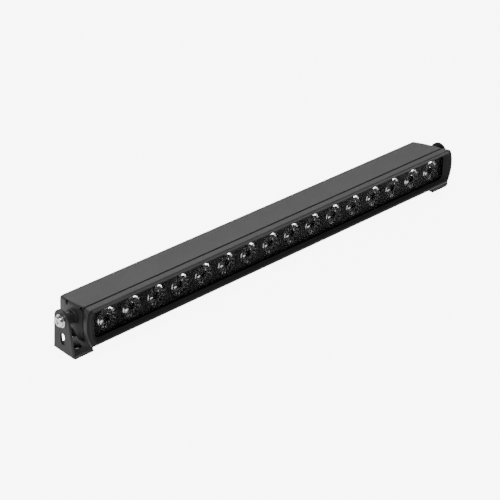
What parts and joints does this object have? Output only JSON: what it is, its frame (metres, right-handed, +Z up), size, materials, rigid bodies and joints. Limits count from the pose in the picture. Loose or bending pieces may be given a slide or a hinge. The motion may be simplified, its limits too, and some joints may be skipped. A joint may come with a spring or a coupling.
{
  "type": "led light bar",
  "caption": "Long single-row LED light bar for a vehicle: finned housing, deep bezel with a clear cover over reflector optics, and a tilting angle bracket on a pivot screw at each end.",
  "frame": {"origin": "under the middle of the bar, on the plane that the two rubber foot pads stand on, half way between the bezel's rim and the fin tips", "axes": "+X along the bar to the end with the breather vent, the beam leaves along -Y, +Z up"},
  "size_m": [0.6776, 0.066, 0.0685],
  "materials": {
    "black_coat": "aluminium under a fine matt black powder coat",
    "bracket_coat": "satin powder coat",
    "stainless_steel": "bright turned",
    "black_steel": "black oxide",
    "clear_cover": "clear polycarbonate, gloss",
    "black_mask": "gloss black",
    "bright_reflector": "metallised mirror",
    "led_phosphor": "clear silicone dome over yellow phosphor",
    "black_rubber": "matt",
    "black_nylon": "matt",
    "circuit_board": "solder mask",
    "driver_parts": "moulded",
    "thermal_sheet": "soft grey sheet",
    "plain_aluminium": "as turned",
    "lead_insulation": "flexible insulation"
  },
  "bodies": {
    "bracket_left": {"bracket_left": "bracket_coat", "foot_pad_left": "black_rubber"},
    "lamp": {"bezel": "black_coat", "bezel_seal": "black_rubber", "board_screws": "stainless_steel", "breather_vent": "black_nylon", "driver_board": "circuit_board", "driver_components": "driver_parts", "driver_screws": "stainless_steel", "driver_spacers": "plain_aluminium", "end_cap_left": "black_coat", "end_cap_right": "black_coat", "end_cap_screws": "black_steel", "end_gasket_left": "black_rubber", "end_gasket_right": "black_rubber", "faceplate": "black_mask", "feed_leads": "lead_insulation", "friction_washer_left": "black_nylon", "friction_washer_right": "black_nylon", "gland_body": "black_nylon", "gland_nut": "black_nylon", "gland_seal": "black_rubber", "housing": "black_coat", "led_board": "circuit_board", "led_emitters": "led_phosphor", "lens": "clear_cover", "lens_gasket": "black_rubber", "outer_washer_left": "stainless_steel", "outer_washer_right": "stainless_steel", "pivot_screw_left": "stainless_steel", "pivot_screw_right": "stainless_steel", "pivot_spacer_left": "black_steel", "pivot_spacer_right": "black_steel", "spot_optics": "bright_reflector", "spread_optics": "bright_reflector", "thermal_pad": "thermal_sheet", "threaded_insert_left": "stainless_steel", "threaded_insert_right": "stainless_steel"},
    "bracket_right": {"bracket_right": "bracket_coat", "foot_pad_right": "black_rubber"}
  },
  "joints": [
    {"name": "lamp_tilt", "type": "hinge", "parent": "bracket_left", "child": "lamp", "pos_m": [-0.3315, 0.002, 0.0473], "axis": [-1, 0, 0], "range_deg": [-20, 90]},
    {"name": "right_foot_level", "type": "hinge", "parent": "lamp", "child": "bracket_right", "pos_m": [0.3315, 0.002, 0.0473], "axis": [-1, 0, 0], "range_deg": [-90, 20]}
  ],
  "couplings": [
    {"joint": "right_foot_level", "follows": "lamp_tilt", "ratio": -1}
  ]
}
